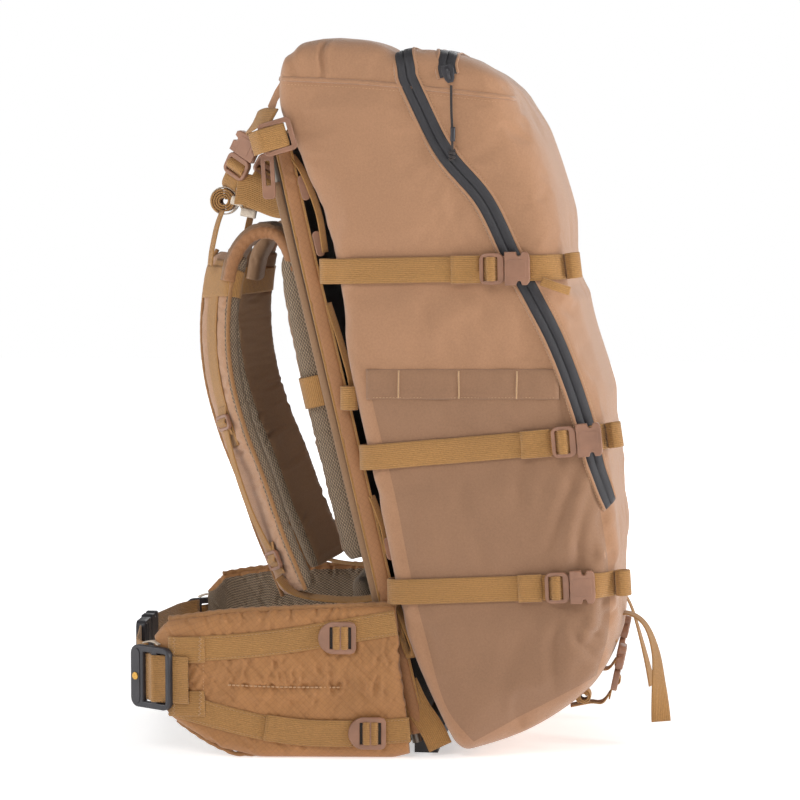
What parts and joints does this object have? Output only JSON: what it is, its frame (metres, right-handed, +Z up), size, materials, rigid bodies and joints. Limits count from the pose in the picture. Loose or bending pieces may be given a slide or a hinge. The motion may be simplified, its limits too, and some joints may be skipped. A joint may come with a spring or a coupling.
{
  "type": "hunting backpack",
  "caption": "Tall external-frame hunting pack with a zippered bag, compression straps, shoulder harness and padded hip belt.",
  "frame": {"origin": "on the floor, under the middle of the frame's bottom bar", "axes": "+X away from the wearer, +Y to the wearer's right, +Z up with the pack standing on its belt and frame foot"},
  "size_m": [0.574, 0.3654, 0.7297],
  "materials": {
    "frame_alloy": "anodised",
    "frame_sheet": "matt",
    "bag_fabric": "woven",
    "zipper_tape": "coated tape",
    "black_plastic": "matt",
    "pull_cord": "braided",
    "belt_fabric": "ripstop",
    "webbing": "woven",
    "pad_fabric": "mesh and woven",
    "brown_plastic": "satin"
  },
  "bodies": {
    "pack": {"back_pad_left": "pad_fabric", "back_pad_right": "pad_fabric", "bag_back_panel": "bag_fabric", "bag_bottom_panel": "bag_fabric", "bag_front_panel": "bag_fabric", "bag_side_panel_left": "bag_fabric", "bag_side_panel_right": "bag_fabric", "bag_top_collar": "bag_fabric", "bottom_buckles": "brown_plastic", "bottom_tails": "webbing", "buckle_sockets": "brown_plastic", "compression_straps_left": "webbing", "compression_straps_right": "webbing", "frame_base_bar": "frame_alloy", "frame_crossbar_top": "frame_alloy", "frame_rail_left": "frame_alloy", "frame_rail_right": "frame_alloy", "frame_sheet": "frame_sheet", "frame_sleeves": "belt_fabric", "harness_webbing": "webbing", "lifter_rings": "brown_plastic", "lifter_sockets": "brown_plastic", "lumbar_pad": "pad_fabric", "side_pocket_left": "bag_fabric", "side_pocket_right": "bag_fabric", "zipper_side_left": "zipper_tape", "zipper_side_right": "zipper_tape", "zipper_top": "zipper_tape"},
    "upper_plug_left": {"plug_upper_left": "brown_plastic"},
    "upper_plug_right": {"plug_upper_right": "brown_plastic"},
    "middle_plug_left": {"plug_middle_left": "brown_plastic"},
    "middle_plug_right": {"plug_middle_right": "brown_plastic"},
    "lower_plug_left": {"plug_lower_left": "brown_plastic"},
    "lower_plug_right": {"plug_lower_right": "brown_plastic"},
    "lifter_left": {"lifter_plug_left": "brown_plastic", "lifter_roll_left": "webbing"},
    "belt_left": {"belt_wing_left": "belt_fabric", "belt_webbing_left": "webbing", "belt_adjuster_left": "black_plastic", "belt_front_webbing_left": "webbing", "waist_buckle_plug": "black_plastic"},
    "upper_ladderlock_left": {"ladderlock_upper_left": "brown_plastic"},
    "lower_ladderlock_left": {"ladderlock_lower_left": "brown_plastic"},
    "shoulder_left": {"shoulder_pad_left": "pad_fabric", "shoulder_webbing_left": "webbing", "shoulder_ladders_left": "brown_plastic"},
    "lifter_right": {"lifter_plug_right": "brown_plastic", "lifter_roll_right": "webbing"},
    "belt_right": {"belt_wing_right": "belt_fabric", "belt_webbing_right": "webbing", "belt_adjuster_right": "black_plastic", "belt_front_webbing_right": "webbing", "waist_buckle_socket": "black_plastic"},
    "upper_ladderlock_right": {"ladderlock_upper_right": "brown_plastic"},
    "lower_ladderlock_right": {"ladderlock_lower_right": "brown_plastic"},
    "shoulder_right": {"shoulder_pad_right": "pad_fabric", "shoulder_webbing_right": "webbing", "shoulder_ladders_right": "brown_plastic"},
    "zipper_pull": {"zipper_slider": "black_plastic", "zipper_pull_cord": "pull_cord"}
  },
  "joints": [
    {"name": "upper_buckle_left_release", "type": "slide", "parent": "pack", "child": "upper_plug_left", "axis": [-0.9998, 0, -0.0203], "range_m": [0, 0.025]},
    {"name": "upper_buckle_right_release", "type": "slide", "parent": "pack", "child": "upper_plug_right", "axis": [-0.9998, 0, -0.0203], "range_m": [0, 0.025]},
    {"name": "middle_buckle_left_release", "type": "slide", "parent": "pack", "child": "middle_plug_left", "axis": [-0.9956, 0, -0.0933], "range_m": [0, 0.025]},
    {"name": "middle_buckle_right_release", "type": "slide", "parent": "pack", "child": "middle_plug_right", "axis": [-0.9956, 0, -0.0933], "range_m": [0, 0.025]},
    {"name": "lower_buckle_left_release", "type": "slide", "parent": "pack", "child": "lower_plug_left", "axis": [-0.9989, 0, -0.0476], "range_m": [0, 0.025]},
    {"name": "lower_buckle_right_release", "type": "slide", "parent": "pack", "child": "lower_plug_right", "axis": [-0.9989, 0, -0.0476], "range_m": [0, 0.025]},
    {"name": "lifter_buckle_left_release", "type": "slide", "parent": "pack", "child": "lifter_left", "axis": [-0.4386, 0.267, -0.8581], "range_m": [0, 0.018]},
    {"name": "belt_left_swing", "type": "hinge", "parent": "pack", "child": "belt_left", "pos_m": [-0.012, -0.152, 0.08], "axis": [0, 0, 1], "range_deg": [0, 55]},
    {"name": "upper_ladderlock_left_tilt", "type": "hinge", "parent": "belt_left", "child": "upper_ladderlock_left", "pos_m": [-0.06705, -0.16803, 0.124], "axis": [0, 0, 1], "range_deg": [0, 35]},
    {"name": "lower_ladderlock_left_tilt", "type": "hinge", "parent": "belt_left", "child": "lower_ladderlock_left", "pos_m": [-0.03705, -0.16553, 0.027], "axis": [0, 0, 1], "range_deg": [0, 35]},
    {"name": "shoulder_left_swing", "type": "hinge", "parent": "pack", "child": "shoulder_left", "pos_m": [-0.176, -0.078, 0.546], "axis": [0, 1, 0], "range_deg": [-4, 10]},
    {"name": "lifter_buckle_right_release", "type": "slide", "parent": "pack", "child": "lifter_right", "axis": [-0.4386, -0.267, -0.8581], "range_m": [0, 0.018]},
    {"name": "belt_right_swing", "type": "hinge", "parent": "pack", "child": "belt_right", "pos_m": [-0.012, 0.152, 0.08], "axis": [0, 0, 1], "range_deg": [-55, 0]},
    {"name": "upper_ladderlock_right_tilt", "type": "hinge", "parent": "belt_right", "child": "upper_ladderlock_right", "pos_m": [-0.06705, 0.16803, 0.124], "axis": [0, 0, 1], "range_deg": [-35, 0]},
    {"name": "lower_ladderlock_right_tilt", "type": "hinge", "parent": "belt_right", "child": "lower_ladderlock_right", "pos_m": [-0.03705, 0.16553, 0.027], "axis": [0, 0, 1], "range_deg": [-35, 0]},
    {"name": "shoulder_right_swing", "type": "hinge", "parent": "pack", "child": "shoulder_right", "pos_m": [-0.176, 0.078, 0.546], "axis": [0, 1, 0], "range_deg": [-4, 10]},
    {"name": "zipper_pull_slide", "type": "slide", "parent": "pack", "child": "zipper_pull", "axis": [-0.2385, 0, 0.9711], "range_m": [0, 0.02]}
  ],
  "couplings": [
    {"joint": "belt_right_swing", "follows": "belt_left_swing", "ratio": -1}
  ]
}
